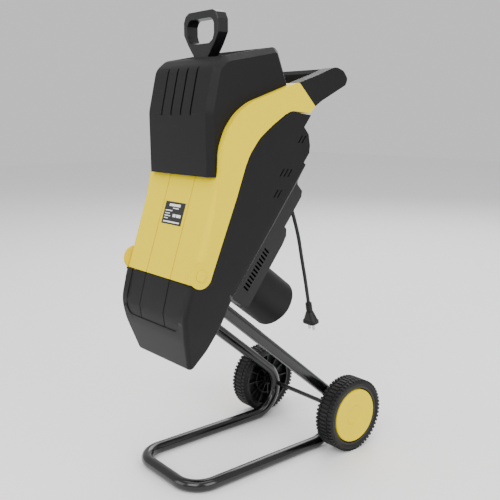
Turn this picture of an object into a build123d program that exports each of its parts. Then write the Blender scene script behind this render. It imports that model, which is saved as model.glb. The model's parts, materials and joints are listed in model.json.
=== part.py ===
from build123d import *
import os
from math import atan2, cos, degrees, radians, sin, tan

# Electric garden chipper on a wheeled tube stand. Millimetres, +Z up, front towards -Y.
# Side outlines are (y, z) points with y counted from the wheel axle; place() then moves
# every piece back by AXLE_Y, so that the origin is the centre of the standing footprint.

# ---- driving dimensions -------------------------------------------------------------
AXLE_Y = 164.0              # wheel axle behind the origin
CLEAR = 0.5                 # gap between parts that only pass each other
FIT = 0.05                  # radial clearance of a shaft that turns in its hole
WALL = 3.0                  # moulded wall

# stand
TUBE_R = 12.5
TUBE_WALL = 1.5
LEG_X = 100.0               # side plane of the stand tube
FRONT_BAR_Y = -388.0
FRONT_BEND_R = 50.0
REAR_BEND_R = 62.0
LEG_ANGLE = 39.75
LEG_TOP_Y = -338.0

# wheels
WHEEL_R = 80.0
WHEEL_IN_X = 121.0
WHEEL_W = 46.0
TYRE_DEPTH = 14.0
RIM_WEB = 4.0
AXLE_R = 5.0
BUSH_WALL = 2.0
CAP_R = WHEEL_R - TYRE_DEPTH - 7.5
TREAD_LUGS = 30

# casing
BODY_X = 118.0              # half-width of the yellow cover and the main casing
HOOD_LOW_X = BODY_X - 32    # half-width of the hood at its lower end
CHANNEL_X = LEG_X - TUBE_R - 3.5  # half-width of the chip channel inside the hood
HINGE_Y = -372.0
HINGE_Z = 437.0
HINGE_PIN_R = 5.0
LUG_R = HINGE_PIN_R + 3.3   # round end of the hinge lugs
EAR_R = 24.5
HOPPER_X = BODY_X - 13

# motor line, which points down and rearwards
TILT = 38.0
MOTOR_N = 191.0             # height of the motor line in the tilted frame
PARTING_M = -481.5          # joint face between main casing and motor shroud
SHROUD_LEN = 94.5
CAN_R = 54.0
CAN_END_W = 219.5
SHAFT_R = 7.5
DISC_R = 88.0
DISC_T = 6.0
BLADE_T = 4.0
SCREW_R = 2.5
BEARING_R = 17.5

# feed
CHUTE_X = 46.0
CHUTE_Y0 = -285.5
CHUTE_Y1 = -251.5
CHUTE_TOP_Z = 735.0
LEDGE_T = 3.0
PADDLE_X = CHUTE_X - 4
PADDLE_Y0 = -281.0
PADDLE_Y1 = -256.0
PADDLE_LOW_Z = 550.0

# screw lock
LOCK_ANGLE = 38.2
LOCK_R = 362.0
TAB_T = 5.0
TAB_X = 17.0
SPINDLE_R = 4.0
KNOB_R = 16.0

# cord
CORD_R = 4.0
CORD_X = 38.0

SIN_T = sin(radians(TILT))
COS_T = cos(radians(TILT))


# ---- helpers ------------------------------------------------------------------------
def side_face(points):
    return make_face(Plane.YZ * Polyline(*points, close=True))


def grow(face, x0, x1):
    return extrude(Pos(x0, 0, 0) * face, amount=x1 - x0, dir=(1, 0, 0))


def prism(points, x0, x1):
    return grow(side_face(points), x0, x1)


def inset_prism(points, x):
    return grow(offset(side_face(points), amount=-WALL, kind=Kind.INTERSECTION), -x, x)


def round_corners(solid, corners):
    """Round the cross edges nearest to each (y, z, radius)."""
    for y, z, radius in corners:
        near = solid.edges().filter_by(Axis.X).sort_by(
            lambda e: abs(e.center().Y - y) + abs(e.center().Z - z))[0]
        solid = fillet(near, radius)
    return solid


def box(x0, x1, y0, y1, z0, z1):
    return Pos((x0 + x1) / 2, (y0 + y1) / 2, (z0 + z1) / 2) * Box(x1 - x0, y1 - y0, z1 - z0)


def tilted(w, n):
    """(y, z) of a point w behind the parting face and n up the tilted frame."""
    m = PARTING_M + w
    return (m * COS_T + n * SIN_T, -m * SIN_T + n * COS_T)


def motor_plane(w, n=MOTOR_N, x=0.0):
    y, z = tilted(w, n)
    return Plane(origin=(x, y, z), x_dir=(-1, 0, 0), z_dir=(0, COS_T, -SIN_T))


def turned(w0, w1, r, hole=0.0, n=MOTOR_N, x=0.0):
    section = Circle(r) - Circle(hole) if hole else Circle(r)
    return extrude(motor_plane(w0, n, x) * section, amount=w1 - w0)


def tilted_box(w0, w1, n0, n1, x0, x1):
    corners = [tilted(w0, n0), tilted(w1, n0), tilted(w1, n1), tilted(w0, n1)]
    return prism(corners, x0, x1)


def cross_cyl(y, z, r, x0, x1, hole=0.0):
    section = Circle(r) - Circle(hole) if hole else Circle(r)
    return extrude(Plane.YZ.offset(x0) * Pos(y, z) * section, amount=x1 - x0)


def polar(r, angle):
    """(y, z) at a radius and angle about the hinge line."""
    a = radians(angle)
    return (HINGE_Y + r * cos(a), HINGE_Z + r * sin(a))


def sector(r0, r1, a0, a1, x0, x1, steps=12):
    angles = [a0 + (a1 - a0) * i / steps for i in range(steps + 1)]
    outer = [polar(r1, a) for a in angles]
    inner = [polar(r0, a) for a in reversed(angles)]
    return prism(outer + inner, x0, x1)


def lock_plane(r):
    y, z = polar(r, LOCK_ANGLE)
    a = radians(LOCK_ANGLE)
    return Plane(origin=(0, y, z), x_dir=(1, 0, 0), z_dir=(0, cos(a), sin(a)))


def lock_cyl(r0, r1, radius, hole=0.0):
    section = Circle(radius) - Circle(hole) if hole else Circle(radius)
    return extrude(lock_plane(r0) * section, amount=r1 - r0)


def both_sides(piece):
    return piece + mirror(piece, about=Plane.YZ)


def group(pieces):
    """Separate solids kept in one node."""
    return Part() + pieces


# ---- stand --------------------------------------------------------------------------
LEG_DY = -cos(radians(LEG_ANGLE))
LEG_DZ = sin(radians(LEG_ANGLE))
BEND_Y = -REAR_BEND_R       # centre of the rear bend; its rear-most point is at the axle
BEND_Z = TUBE_R + REAR_BEND_R
LEG_START = (BEND_Y + REAR_BEND_R * LEG_DZ, BEND_Z - REAR_BEND_R * LEG_DY)
LEG_LENGTH = (LEG_TOP_Y - LEG_START[0]) / LEG_DY


def leg_point(t):
    return (LEG_START[0] + t * LEG_DY, LEG_START[1] + t * LEG_DZ)


def leg_cyl(radius, t0, t1):
    y, z = leg_point(t0)
    plane = Plane(origin=(LEG_X, y, z), x_dir=(1, 0, 0), z_dir=(0, LEG_DY, LEG_DZ))
    return extrude(plane * Circle(radius), amount=t1 - t0)


def stand_frame():
    corner_t = (TUBE_R - LEG_START[1]) / LEG_DZ
    corner_y = leg_point(corner_t)[0]
    top = leg_point(LEG_LENGTH)
    side = [(LEG_X, top[0], top[1]), (LEG_X, corner_y, TUBE_R), (LEG_X, FRONT_BAR_Y, TUBE_R)]
    path = FilletPolyline(*side, *[(-x, y, z) for x, y, z in reversed(side)],
                          radius=[REAR_BEND_R, FRONT_BEND_R, FRONT_BEND_R, REAR_BEND_R])
    ring = Circle(TUBE_R) - Circle(TUBE_R - TUBE_WALL)
    tube = sweep(Plane(origin=path @ 0, z_dir=path % 0) * ring, path=path)
    return tube - cross_cyl(0, WHEEL_R, AXLE_R + FIT, -LEG_X - 2 * TUBE_R, LEG_X + 2 * TUBE_R)


AXLE_END_X = WHEEL_IN_X + 35.0
HUB_X0 = WHEEL_IN_X + CLEAR
HUB_X1 = WHEEL_IN_X + 29.0


def axle():
    return cross_cyl(0, WHEEL_R, AXLE_R, -AXLE_END_X, AXLE_END_X)


def axle_spacers():
    return both_sides(cross_cyl(0, WHEEL_R, AXLE_R + 4, LEG_X + TUBE_R, WHEEL_IN_X, AXLE_R + FIT))


def axle_retainers():
    return both_sides(cross_cyl(0, WHEEL_R, AXLE_R + 4, HUB_X1 + CLEAR, HUB_X1 + 3, AXLE_R + FIT))


# ---- wheels -------------------------------------------------------------------------
def wheel_turned(outline):
    """Revolve (x, radius) points about the axle of the right-hand wheel."""
    points = [(x, 0, WHEEL_R + r) for x, r in outline]
    face = make_face(Polyline(*points, close=True))
    return revolve(face, axis=Axis((0, 0, WHEEL_R), (1, 0, 0)))


RIM_R = WHEEL_R - TYRE_DEPTH
HUB_R = AXLE_R + FIT + BUSH_WALL


def tyre():
    x0 = WHEEL_IN_X
    x1 = WHEEL_IN_X + WHEEL_W
    ring = wheel_turned([(x0 + 3, RIM_R), (x0, RIM_R + 5), (x0, WHEEL_R - 6), (x0 + 4, WHEEL_R),
                         (x1 - 4, WHEEL_R), (x1, WHEEL_R - 6), (x1, RIM_R + 5), (x1 - 3, RIM_R)])
    groove = box(x0 - 1, x0 + 9, -1.8, 1.8, 2 * WHEEL_R - 2.2, 2 * WHEEL_R + 2)
    groove += box(x1 - 9, x1 + 1, -1.8, 1.8, 2 * WHEEL_R - 2.2, 2 * WHEEL_R + 2)
    hub_line = Axis((0, 0, WHEEL_R), (1, 0, 0))
    cuts = [groove.rotate(hub_line, 360 / TREAD_LUGS * i) for i in range(TREAD_LUGS)]
    return ring - cuts


def rim():
    x0 = WHEEL_IN_X
    web = x0 + 17
    body = wheel_turned([(x0 + 3, RIM_R - 5), (x0 + 3, RIM_R), (x0 + WHEEL_W - 3, RIM_R),
                         (x0 + WHEEL_W - 3, RIM_R - 5), (web + RIM_WEB, RIM_R - 5),
                         (web + RIM_WEB, HUB_R + 7), (HUB_X1, HUB_R + 5), (HUB_X1, HUB_R),
                         (HUB_X0, HUB_R), (HUB_X0, HUB_R + 6), (web, HUB_R + 8), (web, RIM_R - 5)])
    body += cross_cyl(0, WHEEL_R, 36, x0 + 6, web, 33.5)
    hub_line = Axis((0, 0, WHEEL_R), (1, 0, 0))
    rib = box(x0 + 5, web + 1, -1.3, 1.3, WHEEL_R + HUB_R + 4, WHEEL_R + RIM_R - 3)
    for i in range(12):
        body += rib.rotate(hub_line, 30 * i)
    return body


def wheel_bush():
    return cross_cyl(0, WHEEL_R, HUB_R, HUB_X0, HUB_X1, AXLE_R + FIT)


def wheel_cap():
    face = WHEEL_IN_X + WHEEL_W
    foot = WHEEL_IN_X + 17 + RIM_WEB
    return wheel_turned([(foot, CAP_R - 2.5), (foot, CAP_R), (face - 3, CAP_R), (face - 1, CAP_R - 2),
                         (face - 3.5, 24), (face - 7, 20), (face - 7, 0), (face - 9.5, 0),
                         (face - 9.5, 21), (face - 6, 26), (face - 4, CAP_R - 6),
                         (face - 5.5, CAP_R - 2.5)])


# ---- main casing --------------------------------------------------------------------
REAR_TOP = [tilted(0, 448), (-102, 664), (-106, 686), (-118, 700), (-100, 723)]
CASE_OUTLINE = [(-392, 419.5), (-409.3, 358), (-403, 316), (-381, 241), (-345, 286), (-323, 329),
                tilted(15, 110), tilted(0, 118), *REAR_TOP, (-148, 729.5), (-160, 727.5),
                (-199, 703.5), (-232, 679.5), (-256, 650), (-266, 629), (-288, 571), (-301, 540),
                (-328, 476), (-347, 431), (-358, 418), (-375, 418)]
CASE_CAVITY = [(-390.3, 426), (-408.2, 358), (-402, 316), (-376.6, 229.5), (-366, 222), (-305, 306),
               (-321, 333), tilted(15, 110), tilted(0, 118), *REAR_TOP[:4], (-118, 740),
               (-165, 745), (-215, 715), (-250, 688), (-275, 650), (-300, 590), (-340, 490),
               (-365, 440)]
CASE_CORNERS = [(-409.3, 358, 80), (-403, 316, 120), (-381, 241, 9), (-345, 286, 80),
                (-160, 727.5, 45), (-232, 679.5, 90), (-256, 650, 90)]
CASE_DEPTH = (-460, 40)
HOOD_EDGE_R = 9.0
SIDE_SLOTS = [(-128, 677), (-119, 676), (-176, 614), (-166, 613), (-156, 612), (-192, 574), (-183, 573)]
SLOT_HALF = 9.0
SLOT_T = 1.5
BAR_W = (-40.0, -25.0)
BAR_N = (192.0, 205.0)


def hood_front(inset):
    """Front view of the casing, narrowing towards the foot of the hood."""
    wide = BODY_X - inset
    low = HOOD_LOW_X - inset
    outline = [(-wide, 760), (wide, 760), (wide, 400), (wide - 5, 330), (low, 235), (low, 215),
               (-low, 215), (-low, 235), (-wide + 5, 330), (-wide, 400)]
    face = make_face(Polyline(*[(x, CASE_DEPTH[0], z) for x, z in outline], close=True))
    solid = extrude(face, amount=CASE_DEPTH[1] - CASE_DEPTH[0], dir=(0, 1, 0))
    knees = solid.edges().filter_by(Axis.Y).filter_by(lambda e: abs(e.center().Z - 330) < 1)
    return fillet(knees, 150)


def hood_edges(solid):
    """The two upright edges at the front of the hood."""
    return solid.edges().filter_by(
        lambda e: abs(e.center().X) > HOOD_LOW_X - 2 and e.center().Y < -384
        and 250 < e.center().Z < 430 and abs(e.tangent_at(0.5).Z) > 0.85)


def side_slots():
    """Short air slots near the rear edge of one side."""
    slots = []
    for y, z in SIDE_SLOTS:
        dy = SLOT_HALF * SIN_T
        dz = SLOT_HALF * COS_T
        outline = [(y - dy - SLOT_T, z - dz), (y - dy + SLOT_T, z - dz), (y + dy + SLOT_T, z + dz),
                   (y + dy - SLOT_T, z + dz)]
        slots.append(prism(outline, BODY_X - WALL - 1, BODY_X + 1))
    return slots


def hinge_lugs():
    x0 = BODY_X - 18
    x1 = BODY_X - 6
    lug = cross_cyl(HINGE_Y, HINGE_Z, LUG_R, x0, x1)
    arm = [polar(6, 30), polar(6, -90), polar(55, -27), polar(60, -8)]
    lug += prism(arm, x0, x1)
    pad = [polar(36, -30), polar(55, -27), polar(60, -8), polar(40, -4)]
    return both_sides(lug + prism(pad, x1 - 1, BODY_X - 1))


def base_housing():
    form = round_corners(prism(CASE_OUTLINE, -BODY_X, BODY_X), CASE_CORNERS) & hood_front(0)
    form = fillet(hood_edges(form), HOOD_EDGE_R)
    cavity = inset_prism(CASE_CAVITY, BODY_X) & hood_front(WALL)
    shell = form - fillet(hood_edges(cavity), HOOD_EDGE_R - WALL)
    for slot in side_slots():
        shell -= both_sides(slot)
    channel = [(-404, 355), (-400, 316), (-379, 245), (-330, 320), tilted(12, 105),
               tilted(-20, 96), tilted(-70, 96)]
    shell += both_sides(prism(channel, CHANNEL_X - 2, CHANNEL_X)) & form
    shell -= cross_cyl(HINGE_Y, HINGE_Z, EAR_R + 1, -BODY_X - 1, BODY_X + 1)
    shell += sector(EAR_R + 1, EAR_R + 4, 222, 400, WALL + CLEAR - BODY_X, BODY_X - WALL - CLEAR)
    shell += hinge_lugs()
    shell -= cross_cyl(HINGE_Y, HINGE_Z, HINGE_PIN_R + FIT, -BODY_X, BODY_X)
    shell += tilted_box(*BAR_W, *BAR_N, -BODY_X + 1, BODY_X - 1)
    shell += lock_cyl(LOCK_R - 38, LOCK_R - 1, SPINDLE_R + 5)
    shell -= sector(LOCK_R - CLEAR, LOCK_R + TAB_T + CLEAR, 33, 95, -TAB_X - 1, TAB_X + 1)
    shell -= lock_cyl(LOCK_R - 39, LOCK_R + 20, SPINDLE_R + FIT)
    shell -= turned(-WALL - 1, 1, SHAFT_R + 8)
    shell -= both_sides(leg_cyl(TUBE_R + CLEAR, LEG_LENGTH - 90, LEG_LENGTH + 1))
    for x, n in PLATE_SCREWS:
        shell -= turned(-WALL - 1, 1, PLATE_SCREW_R + FIT, n=n, x=x)
    for x, n in SHROUD_SCREWS:
        shell -= turned(-WALL - 1, 1, SHROUD_SCREW_R + FIT, n=n, x=x)
    shell -= recess(1.4, 0, RECESS_X)
    for x in (-GROOVE_X, GROOVE_X):
        shell -= recess(2.2, x, 1.5)
    return shell


RECESS_X = BODY_X - 26
RECESS_Z = 330.0
RECESS_CORNER_R = 16.0


def recess(depth, x, half):
    """Panel or groove sunk into the front of the hood, round at its lower corners."""
    sunk = prism([(-414, 424), (-390.8 + depth, 424), (-408.6 + depth, 358), (-403 + depth, 316),
                  (-414, 316)], x - half, x + half)
    height = 2 * (424 - RECESS_Z)
    radius = min(RECESS_CORNER_R, 0.9 * half)
    window = Plane(origin=(x, -420, 424), x_dir=(1, 0, 0), z_dir=(0, 1, 0)) * RectangleRounded(
        2 * half, height, radius)
    return sunk & extrude(window, amount=60)


# ---- leg clamps ---------------------------------------------------------------------
CLAMP_T = (LEG_LENGTH - 20, LEG_LENGTH - 4)
CLAMP_X0 = LEG_X - TUBE_R - 2.5
CLAMP_SCREW_R = 2.0


def clamp_plane(t):
    y, z = leg_point(t)
    return Plane(origin=(0, y, z), x_dir=(1, 0, 0), z_dir=(0, LEG_DY, LEG_DZ))


def clamp_screw_axis(side, x0, x1, radius):
    mid = sum(CLAMP_T) / 2
    y, z = leg_point(mid)
    across = TUBE_R + FIT + CLAMP_SCREW_R + 0.8
    return cross_cyl(y - side * across * LEG_DZ, z + side * across * LEG_DY, radius, x0, x1)


def leg_clamps():
    x1 = BODY_X - WALL
    mid_x = (CLAMP_X0 + x1) / 2
    section = Pos(mid_x, 0) * Rectangle(x1 - CLAMP_X0, 2 * TUBE_R + 14)
    block = extrude(clamp_plane(CLAMP_T[0]) * section, amount=CLAMP_T[1] - CLAMP_T[0])
    block -= leg_cyl(TUBE_R + FIT, *CLAMP_T)
    block &= hood_front(WALL)
    block &= inset_prism(CASE_CAVITY, BODY_X)
    for side in (-1, 1):
        block -= clamp_screw_axis(side, CLAMP_X0 - 1, x1 + 1, CLAMP_SCREW_R)
    return both_sides(block)


def leg_clamp_screws():
    screws = []
    for side in (-1, 1):
        screws.append(clamp_screw_axis(side, CLAMP_X0 + 0.5, BODY_X - WALL - 4, CLAMP_SCREW_R))
    return both_sides(group(screws))


# ---- motor shroud -------------------------------------------------------------------
SHROUD_OUTLINE = [(0, 120), (70, MOTOR_N - CAN_R - 11), (SHROUD_LEN, MOTOR_N - CAN_R - 3),
                  (SHROUD_LEN, 284), (91, 302), (80, 312), (71.5, 312), (71.5, 386), (64, 396),
                  (39.5, 396), (28, 404), (18, 411), (13, 426), (0, 426)]
SHROUD_PLAN = [(0, BODY_X - 3), (10, BODY_X - 4), (34, BODY_X - 30), (SHROUD_LEN, BODY_X - 48)]
PLATE_SCREWS = [(x, MOTOR_N + dn) for x in (-68, 68) for dn in (-54, 54)]
PLATE_SCREW_R = 2.5
SHROUD_SCREWS = [(x, n) for x in (-60, 60) for n in (146, 276)]
SHROUD_SCREW_R = 2.1
SHROUD_HEAD_W = SHROUD_LEN - 4
VENT_COUNT = 12
VENT_PITCH = 8.0
VENT_N0 = 158.0
VENT_W = (46.0, 66.0)


def shroud_plan(inset):
    """Plan view of the shroud, seen across the motor line, as a solid."""
    outline = [(w, x - inset) for w, x in SHROUD_PLAN]
    first = (-WALL - 2, outline[0][1])
    last = (SHROUD_LEN + 2 - 2 * inset / WALL - inset, outline[-1][1])
    half = [first] + outline[:-1] + [last]
    points = [(x, *tilted(w, 80)) for w, x in half] + [(-x, *tilted(w, 80)) for w, x in reversed(half)]
    face = make_face(Polyline(*points, close=True))
    return extrude(face, amount=420, dir=(0, SIN_T, COS_T))


def shroud_shell():
    outer = prism([tilted(w, n) for w, n in SHROUD_OUTLINE], -BODY_X, BODY_X) & shroud_plan(0)
    open_front = [(-12, 120), *SHROUD_OUTLINE[1:-1], (-12, SHROUD_OUTLINE[-1][1])]
    cavity = inset_prism([tilted(w, n) for w, n in open_front], BODY_X) & shroud_plan(WALL)
    return outer - cavity


def rear_housing():
    shell = shroud_shell()
    for x, n in SHROUD_SCREWS:
        shell += turned(0.5, SHROUD_LEN - 1, SHROUD_SCREW_R + 3.4, n=n, x=x)
    for x, n in SHROUD_SCREWS:
        shell -= turned(-1, SHROUD_LEN + 1, SHROUD_SCREW_R + FIT, n=n, x=x)
        shell -= turned(SHROUD_HEAD_W - 3, SHROUD_LEN + 1, SHROUD_SCREW_R + 2.2, n=n, x=x)
    shell -= turned(60, SHROUD_LEN + 2, CAN_R + CLEAR)
    for i in range(VENT_COUNT):
        n = VENT_N0 + VENT_PITCH * i
        shell -= both_sides(tilted_box(*VENT_W, n - 2, n + 2, BODY_X - 52, BODY_X))
    shell -= turned(60, 80, SWITCH_R, n=SWITCH_N, x=SWITCH_X)
    shell -= turned(60, 80, BUTTON_R + 1, n=SWITCH_N, x=BUTTON_X)
    shell -= extrude(gland_plane(-12) * Circle(CORD_R + 2.5), amount=20)
    return shell


def housing_screws():
    screws = []
    for x, n in SHROUD_SCREWS:
        shank = turned(-WALL - 0.5, SHROUD_HEAD_W, SHROUD_SCREW_R, n=n, x=x)
        head = turned(SHROUD_HEAD_W - 3, SHROUD_HEAD_W, SHROUD_SCREW_R + 2, n=n, x=x)
        cross = motor_plane(SHROUD_HEAD_W - 1.5, n, x) * (Rectangle(5, 0.9) + Rectangle(0.9, 5))
        screws.append(shank + head - extrude(cross, amount=3))
    return group(screws)


# ---- motor --------------------------------------------------------------------------
PLATE_T = 6.0
PLATE_X = 78.0
PLATE_N = 64.0
CAN_WALL = 3.0
BEARING_W = (5.0, 16.0)
REAR_BEARING_W = (203.0, 212.0)


def motor_plate():
    plate = extrude(motor_plane(0) * RectangleRounded(2 * PLATE_X, 2 * PLATE_N, 10), amount=PLATE_T)
    plate += turned(0, BEARING_W[1] + 1, BEARING_R + 5.5)
    plate += turned(0, 22, CAN_R - CAN_WALL, CAN_R - CAN_WALL - 4)
    plate -= turned(-1, 30, SHAFT_R + 7)
    plate -= turned(BEARING_W[0], 30, BEARING_R)
    for x, n in PLATE_SCREWS:
        plate -= turned(-1, PLATE_T + 1, PLATE_SCREW_R + FIT, n=n, x=x)
    for x, n in SHROUD_SCREWS:
        plate -= turned(-1, PLATE_T + 1, SHROUD_SCREW_R + 3.9, n=n, x=x)
    return plate


def motor_plate_screws():
    screws = []
    for x, n in PLATE_SCREWS:
        shank = turned(-WALL, PLATE_T + 1, PLATE_SCREW_R, n=n, x=x)
        head = turned(PLATE_T, PLATE_T + 3, PLATE_SCREW_R + 2, n=n, x=x)
        screws.append(shank + head)
    return group(screws)


def motor_can():
    can = turned(PLATE_T, CAN_END_W, CAN_R)
    can = chamfer(can.edges().sort_by(Axis((0, 0, 0), (0, COS_T, -SIN_T)))[-1], 9)
    can -= turned(PLATE_T - 1, CAN_END_W - 9, CAN_R - CAN_WALL)
    can -= turned(CAN_END_W - 10, CAN_END_W - 3, CAN_R - CAN_WALL - 8)
    bearing_r = BEARING_R - 4.5
    can += turned(REAR_BEARING_W[0] - 3, CAN_END_W - 2, bearing_r + 4, bearing_r)
    for i in range(8):
        can -= turned(CAN_END_W - 5, CAN_END_W + 1, 3).moved(Location(motor_spoke(30, 45 * i)))
    return can


def motor_line():
    y, z = tilted(0, MOTOR_N)
    return Axis((0, y, z), (0, COS_T, -SIN_T))


def motor_spoke(radius, angle):
    """Offset of a point round the motor line."""
    a = radians(angle)
    return (radius * cos(a), radius * sin(a) * SIN_T, radius * sin(a) * COS_T)


def front_bearing():
    return turned(*BEARING_W, BEARING_R - 0.02, SHAFT_R + FIT)


def rear_bearing():
    return turned(*REAR_BEARING_W, BEARING_R - 4.52, SHAFT_R + FIT)


STATOR_W = (60.0, 130.0)
ARMATURE_R = 29.2
GAP = 0.8


def motor_stator():
    core = turned(*STATOR_W, CAN_R - CAN_WALL - 0.02, ARMATURE_R + GAP)
    for i in range(2):
        core -= tilted_box(STATOR_W[0] - 1, STATOR_W[1] + 1, MOTOR_N - 14, MOTOR_N + 14,
                           34 - 80 * i, 46 - 80 * i)
    return core


def field_coils():
    ends = [turned(STATOR_W[0] - 11, STATOR_W[0], 46, 33), turned(STATOR_W[1], STATOR_W[1] + 11, 46, 33)]
    return group(ends)


def motor_shaft():
    shaft = turned(-14, 214, SHAFT_R)
    return shaft - turned(-15, 8, 4)


def motor_armature():
    core = turned(STATOR_W[0] + 2, STATOR_W[1] - 2, ARMATURE_R, SHAFT_R)
    slot = tilted_box(STATOR_W[0], STATOR_W[1], MOTOR_N + ARMATURE_R - 2, MOTOR_N + ARMATURE_R + 2, -1, 1)
    for i in range(16):
        core -= slot.rotate(motor_line(), 22.5 * i)
    core += turned(STATOR_W[0] - 8, STATOR_W[0] + 2, 24, SHAFT_R)
    return core + turned(STATOR_W[1] - 2, STATOR_W[1] + 8, 24, SHAFT_R)


def commutator():
    return turned(150, 168, 14, SHAFT_R)


def carbon_brushes():
    brush = tilted_box(155, 163, MOTOR_N - 4, MOTOR_N + 4, 14.4, 34)
    return both_sides(brush)


def brush_holders():
    outer = tilted_box(152, 166, MOTOR_N - 7, MOTOR_N + 7, 18, CAN_R - CAN_WALL - 1)
    inner = tilted_box(155, 163, MOTOR_N - 4, MOTOR_N + 4, 17, 36)
    return both_sides(outer - inner)


def cooling_fan():
    fan = turned(24, 26, 45, SHAFT_R) + turned(24, 40, 12, SHAFT_R)
    blade = tilted_box(25, 38, MOTOR_N + 11, MOTOR_N + 45, -1, 1)
    for i in range(12):
        fan += blade.rotate(motor_line(), 30 * i)
    return fan


# ---- cutting head -------------------------------------------------------------------
DISC_W1 = -8.0
DISC_W0 = DISC_W1 - DISC_T
BLADE_N = (34.0, 84.0)


def cutting_disc():
    disc = turned(DISC_W0, DISC_W1, DISC_R) + turned(DISC_W1, 4, SHAFT_R + 5.5)
    disc -= turned(DISC_W0 - 1, 5, SHAFT_R)
    slot = tilted_box(DISC_W0 - 1, DISC_W1 + 1, MOTOR_N + BLADE_N[0] + 2, MOTOR_N + BLADE_N[1] - 2,
                      -22, -13)
    for i in range(2):
        disc -= slot.rotate(motor_line(), 180 * i)
    for hole in blade_holes(SCREW_R + FIT, DISC_W0 - 1, DISC_W1 + 1):
        disc -= hole
    return disc


def blade_holes(radius, w0, w1):
    return [turned(w0, w1, radius, n=MOTOR_N + s * n, x=0.0) for s in (-1, 1) for n in (44, 72)]


def disc_blades():
    blade = tilted_box(DISC_W0 - BLADE_T, DISC_W0, MOTOR_N + BLADE_N[0], MOTOR_N + BLADE_N[1], -13, 11)
    bevel = chamfer(blade.edges().filter_by(lambda e: abs(e.center().X + 13) < 0.1).sort_by(
        Axis((0, 0, 0), (0, COS_T, -SIN_T)))[0], 3)
    pair = [bevel, bevel.rotate(motor_line(), 180)]
    for hole in blade_holes(SCREW_R + FIT, DISC_W0 - BLADE_T - 1, DISC_W0 + 1):
        pair = [blade - hole for blade in pair]
    return group(pair)


def blade_screws():
    return group(blade_holes(SCREW_R, DISC_W0 - BLADE_T, DISC_W1))


def disc_bolt():
    washer = turned(DISC_W0 - 2, DISC_W0, 12)
    head = extrude(motor_plane(DISC_W0 - 8) * RegularPolygon(7.5, 6), amount=6)
    return washer + head + turned(DISC_W0 - 1, 6, 4 - 0.02)


def chamber_liner():
    """Steel band over the upper half of the disc."""
    ring = turned(-24, -WALL, DISC_R + 5, DISC_R + 3)
    upper = tilted_box(-30, 0, MOTOR_N, MOTOR_N + DISC_R + 10, -DISC_R - 10, DISC_R + 10)
    return ring & upper


def counter_blade():
    return tilted_box(BAR_W[1], BAR_W[1] + 4.5, BAR_N[1] - 5, BAR_N[1] + 6, -CHUTE_X, CHUTE_X)


# ---- switch, button and cord gland --------------------------------------------------
STEP_W = 71.5
SWITCH_N = 350.0
SWITCH_X = -34.0
SWITCH_R = 15.0
BUTTON_X = 4.0
BUTTON_R = 6.0
BUTTON_TRAVEL = 3.0
ROCKER_ANGLE = 12.0


def switch_housing():
    body = turned(STEP_W - 26, STEP_W, SWITCH_R - 0.3, n=SWITCH_N, x=SWITCH_X)
    body += turned(STEP_W, STEP_W + 2.5, SWITCH_R + 3, n=SWITCH_N, x=SWITCH_X)
    return body - tilted_box(STEP_W - 14, STEP_W + 3, SWITCH_N - 12, SWITCH_N + 12,
                             SWITCH_X - 8, SWITCH_X + 8)


def switch_rocker():
    lean = radians(ROCKER_ANGLE / 2)
    top = 11 * tan(lean)
    outline = [(STEP_W - 2, -10), (STEP_W + 3 + top, -10), (STEP_W + 3, 0), (STEP_W + 3 - top, 10),
               (STEP_W - 2, 10), (STEP_W - 8, 0)]
    points = [tilted(w, SWITCH_N + n) for w, n in outline]
    return prism(points, SWITCH_X - 7.5, SWITCH_X + 7.5)


def reset_button():
    stem = turned(STEP_W - 8, STEP_W + 5, BUTTON_R, n=SWITCH_N, x=BUTTON_X)
    return stem + turned(STEP_W - 12, STEP_W - 8, BUTTON_R + 3, n=SWITCH_N, x=BUTTON_X)


def button_guide():
    guide = turned(STEP_W - 20, STEP_W, BUTTON_R + 6, BUTTON_R + 4, n=SWITCH_N, x=BUTTON_X)
    guide &= tilted_box(STEP_W - 20, STEP_W - WALL, SWITCH_N - 20, SWITCH_N + 20, BUTTON_X - 20, BUTTON_X + 20)
    return guide


def safety_switch():
    return tilted_box(-24, -WALL, 400, 430, 60, 84)


def capacitor():
    return turned(8, 46, 16, n=352, x=50) + tilted_box(0.5, 9, 338, 366, 38, 62)


GLAND_N = 383.0
GLAND_LEN = 30.0
GLAND_DIR = (0.36, -0.933)


def gland_plane(t):
    y, z = tilted(STEP_W, GLAND_N)
    origin = (CORD_X, y + t * GLAND_DIR[0], z + t * GLAND_DIR[1])
    return Plane(origin=origin, x_dir=(1, 0, 0), z_dir=(0, *GLAND_DIR))


def cord_gland():
    boot = extrude(gland_plane(-8) * Circle(CORD_R + 2), amount=8 + GLAND_LEN)
    for i in range(5):
        boot += extrude(gland_plane(7 + 4.5 * i) * Circle(CORD_R + 3.2), amount=2.6)
    boot += turned(STEP_W, STEP_W + 3, CORD_R + 7, n=GLAND_N - 2, x=CORD_X)
    boot -= tilted_box(STEP_W - 40, STEP_W - WALL - 3, GLAND_N - 20, GLAND_N + 30, CORD_X - 12, CORD_X + 12)
    return boot


# ---- cord and plug ------------------------------------------------------------------
def cord_points():
    first = [tuple(gland_plane(GLAND_LEN + t).origin) for t in (0, 52)]
    return first + [(37.0, -44.0, 415.0), (37.5, -31.5, 360.0), (36.0, -21.0, 312.0)]


def route_radii(points):
    """Each bend as large as its two straight runs allow."""
    radii = []
    for a, b, c in zip(points, points[1:], points[2:]):
        before = Vector(*b) - Vector(*a)
        after = Vector(*c) - Vector(*b)
        turn = radians(before.get_angle(after))
        radii.append(0.45 * min(before.length, after.length) / tan(turn / 2))
    return radii


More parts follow.
